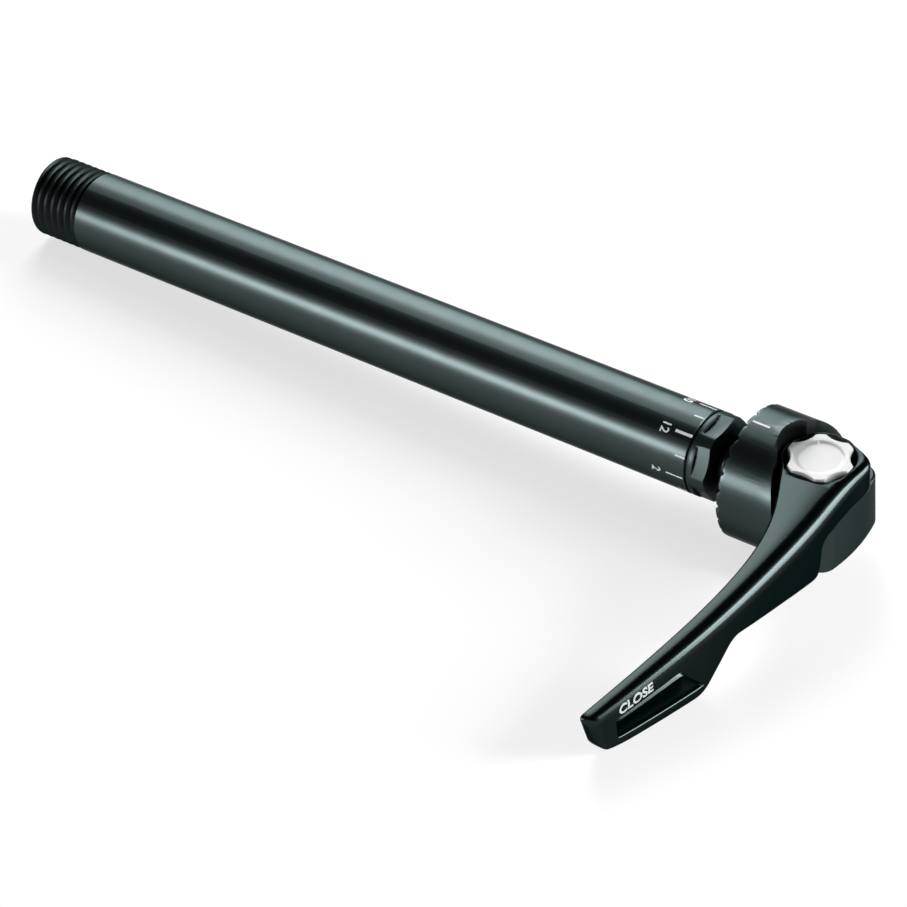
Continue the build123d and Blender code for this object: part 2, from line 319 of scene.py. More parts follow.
class Finishes:
    """Every finish on the axle, built once as materials."""

    def __init__(self) -> None:
        """Builds the materials."""
        black = (0.035, 0.046, 0.046)
        black_tone = (0.041, 0.053, 0.053)
        # The lighter rubbed and bare edge colours are wear and a painted edge highlight; the darker ink edge
        # colours are wear alone.
        rubbed_and_highlight = (0.065, 0.080, 0.080)
        deep = (0.017, 0.022, 0.022)
        deep_tone = (0.020, 0.026, 0.026)
        dull = {"edge_tint": 0.4}
        matt = {"roughness": 0.5, "metallic": 0.0}
        self.tube = Finish(
            "tube_anodised", black, black_tone, rubbed_and_highlight, 0.30, 0.04, grain_stretch=0.08, **dull
        ).material()
        self.head = Finish("head_anodised", black, black_tone, rubbed_and_highlight, 0.30, 0.04, **dull).material()
        self.lever = Finish("lever_anodised", deep, deep_tone, rubbed_and_highlight, 0.22, 0.03, **dull).material()
        self.plug = Finish("plug_anodised", black, black_tone, rubbed_and_highlight, 0.36, 0.05, **dull).material()
        self.blackened = Finish("blackened_steel", deep, deep_tone, rubbed_and_highlight, 0.34, **dull).material()
        # The thread takes a darker, rougher copy of the tube's anodise: painted shade that dims the lamps'
        # glints on its flanks.
        self.thread = Finish("thread_anodised_painted_shade", deep, deep_tone, black, 0.42, 0.05, **dull).material()
        silver, bare_silver_and_highlight = (0.44, 0.445, 0.445), (0.56, 0.56, 0.55)
        self.star = TurnedFinish(
            "star_bright", silver, (0.47, 0.47, 0.47), bare_silver_and_highlight, 0.4, 0.05, metallic=0.2, grain_depth=0.05
        ).material()
        steel, bare_steel_and_highlight = (0.52, 0.53, 0.54), (0.75, 0.75, 0.75)
        self.steel = Finish("plain_steel", steel, (0.60, 0.60, 0.60), bare_steel_and_highlight, 0.33).material()
        bronze, bare_bronze_and_highlight = (0.60, 0.38, 0.18), (0.80, 0.60, 0.35)
        self.bronze = Finish("sintered_bronze", bronze, (0.68, 0.45, 0.22), bare_bronze_and_highlight, 0.38).material()
        polymer, rubbed_polymer_and_highlight = (0.62, 0.62, 0.58), (0.75, 0.75, 0.70)
        self.polymer = Finish("slide_polymer", polymer, (0.68, 0.68, 0.64), rubbed_polymer_and_highlight, **matt).material()
        ink, rubbed_ink = (0.78, 0.79, 0.79), (0.70, 0.71, 0.71)
        self.ink = Finish("white_ink", ink, (0.74, 0.75, 0.75), rubbed_ink, **matt).material()
        pale, rubbed_pale = (0.42, 0.45, 0.45), (0.36, 0.39, 0.39)
        self.pale_ink = Finish("pale_ink", pale, (0.39, 0.42, 0.42), rubbed_pale, **matt).material()


def finish_piece(
    mesh_data: bmesh.types.BMesh,
    name: str,
    material: bpy.types.Material,
    place: Matrix,
    sharp_angle: float = 32.0,
) -> bpy.types.Object:
    """Turns a bmesh into a finished object at the origin.

    Args:
        mesh_data: The shape, in millimetres; it is freed.
        name: The piece's name.
        material: Its material.
        place: The transform that puts the shape in the frame.
        sharp_angle: Edges sharper than this many degrees stay crisp.

    Returns:
        The object.
    """
    bmesh.ops.recalc_face_normals(mesh_data, faces=mesh_data.faces[:])
    mesh_data.transform(place)
    mesh = bpy.data.meshes.new(name)
    mesh_data.to_mesh(mesh)
    mesh_data.free()
    mesh.materials.append(material)
    return dress_mesh(mesh, name, sharp_angle)


def dress_mesh(mesh: bpy.types.Mesh, name: str, sharp_angle: float) -> bpy.types.Object:
    """Links a mesh as an object with smooth shading that keeps sharp edges.

    Args:
        mesh: The mesh.
        name: The object's name.
        sharp_angle: Edges sharper than this many degrees stay crisp.

    Returns:
        The object.
    """
    mesh.shade_smooth()
    mesh.set_sharp_from_angle(angle=math.radians(sharp_angle))
    piece = bpy.data.objects.new(name, mesh)
    bpy.context.scene.collection.objects.link(piece)
    even = piece.modifiers.new("even_normals", "WEIGHTED_NORMAL")
    even.keep_sharp = True
    return piece


def settle(piece: bpy.types.Object, body: Body, slot: Slot, *nodes: str) -> None:
    """Puts a piece on its body, hides the nodes that it stands for, and reports it.

    Args:
        piece: The finished piece.
        body: The body that it rides on.
        slot: The record's material slot for the piece; not used.
        nodes: The nodes that it replaces.
    """
    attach(piece, body.value)
    if nodes:
        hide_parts(*nodes)
    log.info("%s rides on %s, %d faces", piece.name, body.value, len(piece.data.polygons))


def slice_faces(
    shape: bmesh.types.BMesh, point: Vector, normal: Vector, near: float, drop_outer: bool = False
) -> None:
    """Cuts a shape's faces along a plane.

    Args:
        shape: The shape.
        point: A point of the plane.
        normal: The plane's normal.
        near: Points nearer than this to the plane count as on it.
        drop_outer: Whether what lies on the normal's side is removed.
    """
    parts = shape.verts[:] + shape.edges[:] + shape.faces[:]
    bmesh.ops.bisect_plane(
        shape, geom=parts, dist=near, plane_co=point, plane_no=normal, clear_outer=drop_outer
    )


def smooth_copy(
    node: str, name: str, material: bpy.types.Material, bevel: float, loops: tuple[float, ...] = ()
) -> bpy.types.Object:
    """Copies a node as one merged mesh and breaks its sharp edges.

    Args:
        node: The node to copy.
        name: The new piece's name.
        material: Its material.
        bevel: The width of the broken edges in millimetres.
        loops: Stations along the axle where the mesh gets a loop, so that shading near an edge stays there.

    Returns:
        The new piece.
    """
    copy = bmesh.new()
    copy.from_mesh(frame["nodes"][node].data)
    bmesh.ops.remove_doubles(copy, verts=copy.verts[:], dist=MERGE)
    flat = math.radians(FLAT_ANGLE)
    bmesh.ops.dissolve_limit(
        copy, angle_limit=flat, verts=copy.verts[:], edges=copy.edges[:], delimit={"NORMAL"}
    )
    for x in loops:
        slice_faces(copy, Vector((x * MM, 0, 0)), Vector((1, 0, 0)), MERGE)
    limit = math.radians(BREAK_ANGLE)
    edges = [edge for edge in copy.edges if edge.is_manifold and edge.calc_face_angle() > limit]
    bmesh.ops.bevel(
        copy, geom=edges, offset=bevel * MM, offset_type="OFFSET", segments=2, profile=0.5,
        affect="EDGES", clamp_overlap=True, material=-1,
    )
    return finish_piece(copy, name, material, Matrix.Identity(4), CRISP_ANGLE)


def cut(piece: bpy.types.Object, cutters: list[bpy.types.Object]) -> bpy.types.Object:
    """Cuts solids out of a piece and removes them.

    Args:
        piece: The piece to cut.
        cutters: The solids to take away.

    Returns:
        The cut piece, which takes the old one's name.
    """
    piece.modifiers.clear()
    for cutter in cutters:
        step = piece.modifiers.new("cut", "BOOLEAN")
        step.operation = "DIFFERENCE"
        step.solver = "EXACT"
        step.object = cutter
    bpy.context.view_layer.update()
    shaped = piece.evaluated_get(bpy.context.evaluated_depsgraph_get())
    mesh = bpy.data.meshes.new_from_object(shaped)
    name = piece.name
    for old in (piece, *cutters):
        bpy.data.objects.remove(old)
    mesh.name = name
    return dress_mesh(mesh, name, CRISP_ANGLE)


def turned_solid(profile: list[Point], steps: int) -> bmesh.types.BMesh:
    """Spins a half section about the pivot into a closed solid.

    Args:
        profile: Heights and radii, from one end on the axis to the other.
        steps: How many faces go round.

    Returns:
        The solid.
    """
    solid = bmesh.new()
    verts = [solid.verts.new((radius, 0.0, height)) for height, radius in profile]
    edges = [solid.edges.new(pair) for pair in zip(verts, verts[1:])]
    bmesh.ops.spin(
        solid, geom=verts + edges, cent=(0, 0, 0), axis=(0, 0, 1), angle=math.tau, steps=steps,
        use_merge=True, use_duplicate=False,
    )
    bmesh.ops.remove_doubles(solid, verts=solid.verts[:], dist=HAIR)
    bmesh.ops.recalc_face_normals(solid, faces=solid.faces[:])
    return solid


@dataclass
class Ink:
    """Pale print, as thin solids that are let into a surface."""

    proud: float = 0.02
    sunk: float = 0.05
    cap_share: float = 0.729
    curve_steps: int = 8

    def lift(self, depth: float) -> float:
        """Gives the height above the surface for a depth from -0.5 to 0.5."""
        return self.proud if depth > 0 else -self.sunk

    def add_bar(self, sheet: bmesh.types.BMesh, low: Point, high: Point) -> None:
        """Adds a flat bar to a sheet of print.

        Args:
            sheet: The print, across in X, up in Y and depth in Z.
            low: The bar's lower corner.
            high: The bar's upper corner.
        """
        size = Vector((high[0] - low[0], high[1] - low[1], 1.0))
        middle = Vector(((high[0] + low[0]) / 2, (high[1] + low[1]) / 2, 0.0))
        place = Matrix.Translation(middle) @ Matrix.Diagonal((*size, 1.0))
        bmesh.ops.create_cube(sheet, size=1.0, matrix=place)

    def add_text(
        self, sheet: bmesh.types.BMesh, text: str, height: float, at: Point, slant: float, weight: float
    ) -> None:
        """Adds a text to a sheet of print, centred across on a point of its baseline.

        Args:
            sheet: The print.
            text: The text.
            height: The height of its capitals in millimetres.
            at: The point of the baseline.
            slant: How far it leans, as a slope.
            weight: How much thicker its strokes are, in shares of the type size.
        """
        curve = bpy.data.curves.new("print_" + text, "FONT")
        curve.body = text
        curve.size = height / self.cap_share
        curve.shear = slant
        curve.offset = weight * curve.size
        curve.extrude = 0.5
        curve.resolution_u = self.curve_steps
        curve.align_x = "CENTER"
        letters = bpy.data.objects.new("print_" + text, curve)
        bpy.context.scene.collection.objects.link(letters)
        bpy.context.view_layer.update()
        shaped = letters.evaluated_get(bpy.context.evaluated_depsgraph_get())
        mesh = bpy.data.meshes.new_from_object(shaped)
        bpy.data.objects.remove(letters)
        bpy.data.curves.remove(curve)
        mesh.transform(Matrix.Translation((*at, 0.0)))
        sheet.from_mesh(mesh)
        bpy.data.meshes.remove(mesh)

    def wrap(self, sheet: bmesh.types.BMesh, radius: float, start: float) -> None:
        """Wraps a sheet round the axle: across goes round from an angle, up goes along +X.

        Args:
            sheet: The print.
            radius: The radius of the surface.
            start: The angle of the sheet's zero, from +Z towards -Y, in radians.
        """
        bmesh.ops.remove_doubles(sheet, verts=sheet.verts[:], dist=FINE)
        for vert in sheet.verts:
            angle = start + vert.co.x / radius
            reach = radius + self.lift(vert.co.z)
            vert.co = Vector((vert.co.y, -reach * math.sin(angle), reach * math.cos(angle)))


@dataclass
class AxleTube:
    """The hollow axle with a rolled thread at one end and a clock dial at the other."""

    length: float = 143.3
    radius: float = 7.5
    bore: float = 5.5
    bore_chamfer: float = 0.5
    end_chamfer: float = 0.15
    thread_length: float = 10.75
    thread_pitch: float = 1.58
    thread_start: float = -1.41
    thread_root: float = 6.62
    thread_crest: float = 7.46
    thread_chamfer: float = 0.2
    thread_shape: tuple[Point, ...] = (
        (-0.12, 0.0), (0.10, 0.0), (0.16, 0.08), (0.39, 0.85), (0.43, 0.96), (0.47, 1.0),
        (0.53, 1.0), (0.57, 0.96), (0.61, 0.85), (0.82, 0.08), (0.88, 0.0),
    )
    spare_turns: int = 3
    runout: float = 0.7
    steps: int = 96
    crisp_angle: float = 28.0
    hours: int = 12
    twelve_angle: float = 33.0
    hour_step: float = 30.0
    dial_gap: float = 0.12
    even_line: float = 3.3
    odd_line: float = 1.9
    line_width: float = 0.3
    twelve_width: float = 0.5
    number_base: float = 6.15
    number_height: float = 1.7
    number_weight: float = 0.012

    def build(self, finishes: Finishes) -> None:
        """Builds the tube and its dial.

        Args:
            finishes: The materials.
        """
        tube = finish_piece(self._tube(), "threaded_tube", finishes.tube, PLACE, self.crisp_angle)
        # The thread's faces take the darker copy of the anodise as painted shade.
        tube.data.materials.append(finishes.thread)
        for face in tube.data.polygons:
            face.material_index = int(self._on_thread(face.center / MM))
        settle(tube, Body.AXLE, Slot.BLACK, "axle_tube")
        dial = finish_piece(self._dial(), "clock_dial", finishes.ink, PLACE)
        settle(dial, Body.AXLE, Slot.POLYMER)

    def _on_thread(self, middle: Vector) -> bool:
        """Says whether a face of the tube belongs to the thread."""
        outside = math.hypot(middle.y, middle.z) > (self.bore + self.thread_root) / 2
        return outside and middle.x < self.thread_length - self.length / 2

    def _thread(self) -> bmesh.types.BMesh:
        """Screws one pitch of thread round the axle and trims it at both ends.

        Returns:
            The open thread, from the tube's end to the end of its run-out.
        """
        pitch, root, crest = self.thread_pitch, self.thread_root, self.thread_crest
        depth = crest - root
        thread = bmesh.new()
        turns = math.ceil(self.thread_length / pitch) + self.spare_turns
        first = -self.length / 2 + self.thread_start * pitch
        verts = [thread.verts.new((first + x * pitch, 0.0, root + h * depth)) for x, h in self.thread_shape]
        edges = [thread.edges.new(pair) for pair in zip(verts, verts[1:])]
        bmesh.ops.spin(
            thread, geom=verts + edges, cent=(0, 0, 0), axis=(1, 0, 0), dvec=(pitch / self.steps, 0, 0),
            angle=math.tau * turns, steps=self.steps * turns, use_merge=False, use_duplicate=False,
        )
        bmesh.ops.remove_doubles(thread, verts=thread.verts[:], dist=NEAR)
        low, high = -self.length / 2, -self.length / 2 + self.thread_length
        for x, side in ((low, -1), (high, 1)):
            slice_faces(thread, Vector((x, 0, 0)), Vector((side, 0, 0)), FINE, drop_outer=True)
        bmesh.ops.remove_doubles(thread, verts=thread.verts[:], dist=NEAR)
        for vert in thread.verts:
            reach = math.hypot(vert.co.y, vert.co.z)
            limit = self.radius - self.thread_chamfer + (vert.co.x - low)
            fade = min(1.0, max(0.0, 1.0 - (high - vert.co.x) / self.runout))
            wanted = min(reach, limit) + (self.radius - reach) * fade * fade * (3 - 2 * fade)
            vert.co.y *= wanted / reach
            vert.co.z *= wanted / reach
        return thread

    def _open_edges(self, shape: bmesh.types.BMesh, x: float) -> list[bmesh.types.BMEdge]:
        """Finds a shape's open edges at a station."""
        return [e for e in shape.edges if e.is_boundary and all(abs(v.co.x - x) < NEAR for v in e.verts)]

    def _tube(self) -> bmesh.types.BMesh:
        """Carries the thread on as the plain tube, back through the bore and round to the thread's start.

        Returns:
            The closed tube.
        """
        tube = self._thread()
        low, high = -self.length / 2, self.length / 2
        start = self._open_edges(tube, low)
        loop = self._open_edges(tube, low + self.thread_length)
        rings = [
            (high - self.end_chamfer, self.radius),
            (high, self.radius - self.end_chamfer),
            (high, self.bore),
            (low + self.bore_chamfer, self.bore),
            (low, self.bore + self.bore_chamfer),
        ]
        for x, radius in rings:
            made = bmesh.ops.extrude_edge_only(tube, edges=loop)["geom"]
            loop = [part for part in made if isinstance(part, bmesh.types.BMEdge)]
            for vert in (part for part in made if isinstance(part, bmesh.types.BMVert)):
                reach = math.hypot(vert.co.y, vert.co.z)
                vert.co = Vector((x, vert.co.y * radius / reach, vert.co.z * radius / reach))
            loop = [edge for edge in loop if all(abs(v.co.x - x) < HAIR for v in edge.verts)]
        bmesh.ops.bridge_loops(tube, edges=loop + start)
        return tube

    def _dial(self) -> bmesh.types.BMesh:
        """Prints the twelve hour lines and the even hours beside the tube's end.

        Returns:
            The print, wrapped on the tube.
        """
        ink = Ink()
        dial = bmesh.new()
        end = self.length / 2 - self.dial_gap
        for hour in range(self.hours):
            mark = bmesh.new()
            half = (self.twelve_width if hour == 0 else self.line_width) / 2
            long = self.odd_line if hour % 2 else self.even_line
            ink.add_bar(mark, (-half, end - long), (half, end))
            if hour % 2 == 0:
                base = self.length / 2 - self.number_base
                number = str(hour or self.hours)
                ink.add_text(mark, number, self.number_height, (0.0, base), 0.0, self.number_weight)
            ink.wrap(mark, self.radius, math.radians(self.twelve_angle + self.hour_step * hour))
            piece = bpy.data.meshes.new("hour")
            mark.to_mesh(piece)
            mark.free()
            dial.from_mesh(piece)
            bpy.data.meshes.remove(piece)
        return dial


@dataclass
class ClampHead:
    """The index plug, the cam housing with its pointer line, and the rod and bolt inside."""

    collar_face: float = 80.55
    collar_loops: tuple[float, ...] = (0.85, 1.1, 2.4, 4.6, 6.6)
    collar_radius: float = 11.75
    pointer_angle: float = 4.5
    pointer_from: float = 81.55
    pointer_to: float = 84.85
    pointer_width: float = 0.4
    plug_break: float = 0.12
    housing_break: float = 0.12
    rod_break: float = 0.1
    bolt_break: float = 0.15

    def build(self, finishes: Finishes) -> None:
        """Builds the head's pieces and its print.

        Args:
            finishes: The materials.
        """
        loops = tuple(self.collar_face + step for step in self.collar_loops)
        for node, name, material, bevel, cuts, body, slot in (
            ("index_plug", "hex_drive_end", finishes.plug, self.plug_break, (), Body.AXLE, Slot.BLACK),
            (
                "cam_housing", "clamp_housing", finishes.head, self.housing_break, loops, Body.HOUSING,
                Slot.BLACK,
            ),
            ("draw_rod", "cam_draw_rod", finishes.blackened, self.rod_break, (), Body.ROD, Slot.STEEL),
            ("retention_bolt", "socket_bolt", finishes.steel, self.bolt_break, (), Body.BOLT, Slot.STEEL),
        ):
            settle(smooth_copy(node, name, material, bevel, cuts), body, slot, node)
        self._pointer(finishes)

    def _pointer(self, finishes: Finishes) -> None:
        """Prints the line on the collar that points at the dial.

        Args:
            finishes: The materials.
        """
        ink = Ink()
        mark = bmesh.new()
        half = self.pointer_width / 2
        ink.add_bar(mark, (-half, self.pointer_from), (half, self.pointer_to))
        ink.wrap(mark, self.collar_radius, math.radians(self.pointer_angle))
        pointer = finish_piece(mark, "pointer_line", finishes.ink, PLACE)
        settle(pointer, Body.HOUSING, Slot.POLYMER)


def smooth_line(points: list[Point], count: int) -> np.ndarray:
    """Runs a natural cubic curve through points.

    Args:
        points: The points.
        count: How many samples to take.

    Returns:
        The samples, one row each.
    """
    knots = np.array(points, float)
    along = np.concatenate([[0.0], np.cumsum(np.linalg.norm(np.diff(knots, axis=0), axis=1))])
    gaps = np.diff(along)
    size = len(knots)
    system, right = np.eye(size), np.zeros((size, 2))
    for n in range(1, size - 1):
        system[n, n - 1 : n + 2] = gaps[n - 1], 2 * (gaps[n - 1] + gaps[n]), gaps[n]
        right[n] = 6 * ((knots[n + 1] - knots[n]) / gaps[n] - (knots[n] - knots[n - 1]) / gaps[n - 1])
    bend = np.linalg.solve(system, right)
    where = np.linspace(0, along[-1], count)
    span = np.clip(np.searchsorted(along, where, side="right") - 1, 0, size - 2)
    gap = gaps[span][:, None]
    after = (where - along[span])[:, None]
    before = gap - after
    cubic = (bend[span] * before**3 + bend[span + 1] * after**3) / (6 * gap)
    first = (knots[span] / gap - bend[span] * gap / 6) * before
    second = (knots[span + 1] / gap - bend[span + 1] * gap / 6) * after
    return cubic + first + second


def level(where: float, stations: Sequence[float], values: Sequence[float]) -> float:
    """Reads a broken line at a station."""
    return float(np.interp(where, stations, values))


def corner_arc(centre: Point, radius: float, start: float, steps: int) -> list[Point]:
    """Draws a quarter turn, clockwise from an angle that is measured clockwise from up.

    Args:
        centre: The middle of the turn.
        radius: Its radius.
        start: The angle where it starts, in degrees.
        steps: How many pieces it has.

    Returns:
        Its points.
    """
    turns = [math.radians(start + 90.0 * n / steps) for n in range(steps + 1)]
    return [(centre[0] + radius * math.sin(turn), centre[1] + radius * math.cos(turn)) for turn in turns]


def rounding_pull(radius: float, distance: float) -> float:
    """Gives how far a rounded end draws a side in, at a distance from the end."""
    left = radius - min(max(distance, 0.0), radius)
    return radius - math.sqrt(radius * radius - left * left)


def eased_line(points: list[Point], reach: float, steps: int = 8) -> list[Point]:
    """Rounds the inner corners of a run of straight lines.

    Args:
        points: The corners.
        reach: How far from a corner its rounding starts, at most.
        steps: How many pieces each rounding has.

    Returns:
        The points of the eased line.
    """
    most = 0.45
    eased = [points[0]]
    for before, corner, after in zip(points, points[1:], points[2:]):
        here = Vector(corner)
        back, ahead = Vector(before) - here, Vector(after) - here
        start = here + back.normalized() * min(reach, most * back.length)
        end = here + ahead.normalized() * min(reach, most * ahead.length)
        for n in range(steps + 1):
            share = n / steps
            eased.append(tuple(start * (1 - share) ** 2 + here * 2 * share * (1 - share) + end * share**2))
    return eased + [points[-1]]


@dataclass
class Lever:
    """The forged lever with its soft ridge, finger paddle and recess, and the star nut that holds it."""

    boss: float = 6.7
    top: float = 8.4
    bottom: float = 2.55
    reach: float = 71.0
    tip_slope: float = 2.4
    tip_blend: float = 9.0
    tip_span: float = 2.4
    tip_rounds: tuple[float, float, float, float] = (0.9, 1.8, 2.6, 1.4)
    tip_heel: float = 1.1
    back_round: float = 0.6
    arc_steps: int = 10
    corner_steps: int = 4
    turn_steps: int = 96
    line_samples: int = 400
    corner_share: float = 0.15
    heel_share: float = 0.45
    ridge_share: float = 0.8
    least_side: float = 1.2
    inner_round: float = 0.5
    under_round: float = 0.45
    under_relief: float = 0.55
    relief_from: float = 0.45
    lip_tip: float = 0.27
    lip_root: float = 0.48
    lip_end: float = -51.0
    lip_fade: float = 0.6
    guard: float = 0.12
    pocket: float = 6.02
    pocket_floor: float = 7.0
    pocket_lip: float = 0.12
    hollow: float = 5.61
    hollow_top: float = 5.6
    drive: float = 5.22
    drive_depth: float = 4.0
    cutter_spare: float = 2.0
    grip_depth: float = 0.5
    grip_from: float = -66.0
    grip_to: float = -45.5
    grip_ramp: float = 0.8
    word_height: float = 1.75
    word_from: float = -64.95
    word_to: float = -57.35
    word_base_tip: float = 5.75
    word_base_root: float = 5.55
    word_lean: float = 0.03
    word_weight: float = 0.03
    word_row: float = 0.2
    star_break: float = 0.18

    def __post_init__(self) -> None:
        """Works out the plan, the underside and the ridge from their few points."""
        boss = self.boss
        outer = [
            (0.48 * boss, 0.87 * boss), (0.836 * boss, 0.731 * boss), (1.082 * boss, 0.582 * boss),
            (7.75, 0.0), (7.94, -12.3), (7.94, -24.0), (6.45, -45.9), (2.6, -self.reach),
        ]
        inner = [
            (-0.1, -self.reach), (2.1, -51.2), (3.05, -33.0), (0.94, -17.0),
            (-0.448 * boss, -1.179 * boss), (-0.84 * boss, -0.42 * boss),
        ]
        self.outer_line = smooth_line(outer, self.line_samples)[::-1]
        self.inner_line = smooth_line(inner, self.line_samples)
        low = [
            (boss, self.bottom), (-12.3, self.bottom), (-13.5, -3.75), (-25.1, -0.825), (-37.9, 2.1),
            (-45.9, -4.2), (self.tip_slope - self.reach, -0.1), (-self.reach, 0.25),
        ]
        self.low_line = np.array(eased_line(low, 2.0))
        rim = [(self.grip_from - 2, 5.15), (self.lip_end, 4.3), (self.grip_to, -2.3)]
        self.grip_high = np.array(eased_line(rim, 1.2))
        self.grip_low = np.array([(self.grip_from, 1.2), (self.grip_to, -2.3)])
        self.ridge_line = np.array([
            (-71.0, 1.4), (-65.0, 1.6), (-55.0, 1.95), (-45.0, 2.2), (-35.0, 2.4), (-25.0, 2.55),
            (-15.0, 2.7), (-9.0, 2.75), (-4.0, 2.3), (0.0, 1.7), (3.0, 1.3), (5.6, 0.9), (6.7, 0.6),
        ])

    def _edge(self, line: np.ndarray, y: float, sign: float) -> float:
        """Reads one side of the plan, which follows the round boss past the line's end.

        Args:
            line: The side's points.
            y: The station.
            sign: One for the outer side, minus one for the inner.

        Returns:
            Where the side lies.
        """
        if y > line[-1, 1]:
            return sign * math.sqrt(max(self.boss**2 - y * y, 0.0))
        return level(y, line[:, 1], line[:, 0])

    def outer(self, y: float) -> float:
        """Gives the arm's outer side at a station."""
        return self._edge(self.outer_line, y, 1.0)

    def inner(self, y: float) -> float:
        """Gives the arm's inner side at a station."""
        return self._edge(self.inner_line, y, -1.0)

    def underside(self, y: float) -> float:
        """Gives the height of the underside at a station."""
        line = self.low_line[::-1]
        return level(y, line[:, 0], line[:, 1])

    def ridge(self, y: float) -> float:
        """Gives the radius of the ridge at a station."""
        return level(y, self.ridge_line[:, 0], self.ridge_line[:, 1])

    def face(self, y: float, z: float) -> float:
        """Gives the outer surface at a station and a height.

        Args:
            y: The station.
            z: The height.

        Returns:
            Where the surface lies.
        """
        radius = self.ridge(y)
        over = max(0.0, z - (self.top - radius))
        return self.outer(y) - radius + math.sqrt(max(radius * radius - over * over, 0.0))

    def _stations(self) -> list[float]:
        """Lists the stations of the loft.

        Returns:
            The stations, from the back of the boss to the tip.
        """
        turn = [self.boss * math.cos(math.radians(a)) for a in np.arange(3.0, 90.0, 3.0)]
        arm = list(np.arange(-0.6, -self.reach + 3.2, -1.0))
        step = [y for y, _ in self.low_line if -50 < y < 0]
        fan = np.radians(np.arange(9.0, 91.0, 9.0))
        tip = [-self.reach + self.tip_span * (1 - math.cos(a)) for a in fan]
        ramp = list(np.arange(self.grip_from - 0.1, self.grip_from + self.grip_ramp + 0.1, 0.1))
        end = list(np.arange(-52.0, self.grip_to + 0.3, 0.25))
        found = sorted(set(round(float(y), 3) for y in turn + arm + step + tip + ramp + end), reverse=True)
        kept = [found[0]]
        for y in found[1:]:
            if kept[-1] - y > 0.02:
                kept.append(y)
        return kept

    def _side(self, y: float, right: float, high: float, low: float) -> list[tuple[float, float]]:
        """Draws a section's outer side below the ridge: a small ledge, the finger recess and its lower lip.

        Args:
            y: The station.
            right: The outer side there.
            high: The height where the ridge ends.
            low: The height where the lower corner starts.

        Returns:
            The side's points, which lie on one straight line where there is no recess.
        """
        start, end, ramp = self.grip_from, self.grip_to, self.grip_ramp
        share = level(y, (start, start + ramp, end - 2 * ramp, end), (0.0, 1.0, 1.0, 0.0))
        share = share * share * (3 - 2 * share)
        upper = level(y, self.grip_high[:, 0], self.grip_high[:, 1])
        lower = level(y, self.grip_low[:, 0], self.grip_low[:, 1])
        size = min(1.0, max(0.0, upper - lower))
        lip = level(y, (start, self.lip_end), (self.lip_tip, self.lip_root))
        ledge = share * lip * level(y, (self.lip_end, self.lip_end + self.lip_fade), (1.0, 0.0))
        depth = share * self.grip_depth
        rise = lip * size
        foot = lower - 0.14 * size
        shape = [
            (0.0, upper + rise + self.guard), (0.0, upper + rise), (0.12 * ledge, upper + 0.8 * rise),
            (0.88 * ledge, upper + 0.15 * rise), (ledge, upper - 0.06 * size),
            (-depth, upper - 0.22 * size), (-depth, lower + 0.15 * size),
            (-0.42 * depth, lower + 0.09 * size), (-0.08 * depth, lower - 0.07 * size),
            (0.0, foot), (0.0, foot - self.guard),
        ]
        plain = np.linspace(high, low, len(shape) + 2)[1:-1]
        weight = level(y, (start - 1.2, start - 0.2, end, end + 2.0), (0.0, 1.0, 1.0, 0.0))
        return [(right + x, weight * z + (1 - weight) * even) for (x, z), even in zip(shape, plain)]

    def _section(self, y: float) -> list[Vector]:
        """Draws the section at a station, round from the inner lower corner over the top.

        Args:
            y: The station.

        Returns:
            The corners of the section.
        """
        left, right, low, top = self.inner(y), self.outer(y), self.underside(y), self.top
        pulls = [rounding_pull(size, y + self.reach) for size in self.tip_rounds]
        back = rounding_pull(self.back_round, self.boss - y)
        lean = max(0.0, 1.0 - (y + self.reach) / self.tip_blend)
        shift = self.tip_slope * lean * lean
        base = self.underside(y)
        left, right = left + pulls[0], right - pulls[1]
        low, top = low + pulls[2] + back, top - pulls[3] - back
        wide = right - left
        ridge = min(self.ridge(y), self.ridge_share * wide, top - low - self.least_side)
        inner = min(self.inner_round, self.corner_share * wide)
        relief = self.under_relief * level(y, (0.0, self.relief_from * self.boss), (0.0, 1.0))
        under = min(self.under_round + relief, self.corner_share * wide)
        heel = min(self.under_round + self.tip_heel * lean, self.heel_share * wide)
        flat = corner_arc((left + heel, low + heel), heel, 180, self.corner_steps)
        flat += corner_arc((left + inner, top - inner), inner, 270, self.corner_steps)
        flat += corner_arc((right - ridge, top - ridge), ridge, 0, self.arc_steps)
        flat += self._side(y, right, top - ridge, low + under)
        flat += corner_arc((right - under, low + under), under, 90, self.corner_steps)
        return [Vector((x, y + shift * (self.top - z) / (self.top - base), z)) for x, z in flat]

    def _arm(self) -> bmesh.types.BMesh:
        """Lofts the lever from the back of its boss to its tip.

        Returns:
            The closed lever.
        """
        arm = bmesh.new()
        stations = self._stations()
        corners = self._section(stations[0])
        loop = bmesh.ops.create_circle(arm, segments=len(corners), cap_ends=True)["verts"]
        for vert, corner in zip(loop, corners):
            vert.co = corner
        for y in stations[1:]:
            edges = [arm.edges.get((a, b)) for a, b in zip(loop, loop[1:] + loop[:1])]
            made = set(bmesh.ops.extrude_edge_only(arm, edges=edges)["geom"])
            ahead = []
            for vert in loop:
                others = [edge.other_vert(vert) for edge in vert.link_edges]
                ahead.append(next(other for other in others if other in made))
            for vert, corner in zip(ahead, self._section(y)):
                vert.co = corner
            loop = ahead
        arm.faces.new(loop)
        return arm

